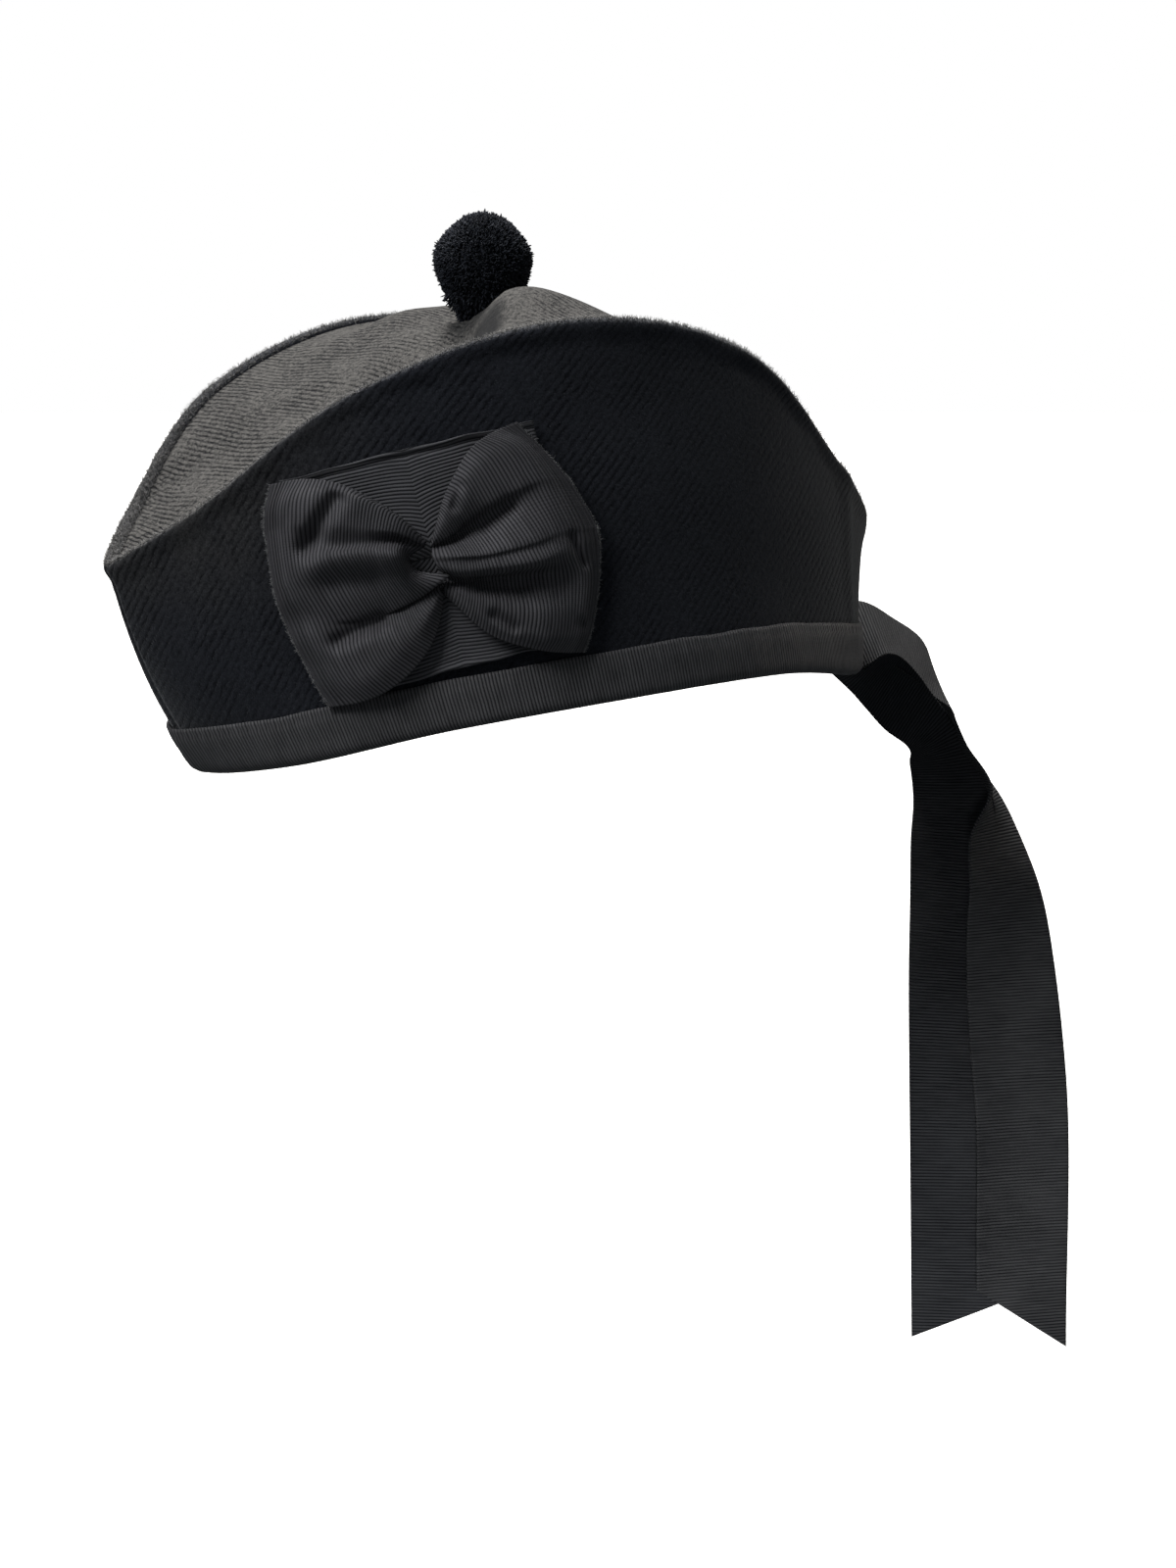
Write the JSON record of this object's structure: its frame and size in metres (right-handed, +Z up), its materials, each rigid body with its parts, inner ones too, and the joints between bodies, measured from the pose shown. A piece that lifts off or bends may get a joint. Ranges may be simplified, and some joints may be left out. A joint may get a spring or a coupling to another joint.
{
  "type": "glengarry bonnet",
  "caption": "Wool glengarry with folding sides, dipped crown, pompom, ribbon-bound rim, gathered ribbon cockade on the left side and hanging ribbon tails at the rear.",
  "frame": {"origin": "middle of the head opening, where the rim sits round the head", "axes": "-Y is the front of the bonnet, +X the wearer's left, where the cockade is, and +Z up; the bonnet is pitched eight degrees front down, as worn"},
  "size_m": [0.1522, 0.2898, 0.3381],
  "materials": {
    "side_wool": "matt black milled wool with a steep twill",
    "crown_wool": "matt dark grey twilled wool",
    "ribbon": "black ribbed grosgrain ribbon with a low sheen",
    "pompom_wool": "black cut wool pile"
  },
  "bodies": {
    "root": {"side_panel_left": "side_wool", "side_panel_right": "side_wool", "crown": "crown_wool", "rim_binding": "ribbon", "toorie": "pompom_wool", "cockade_backing": "ribbon", "cockade_bow": "ribbon", "tail_left": "ribbon", "tail_right": "ribbon"}
  },
  "joints": []
}
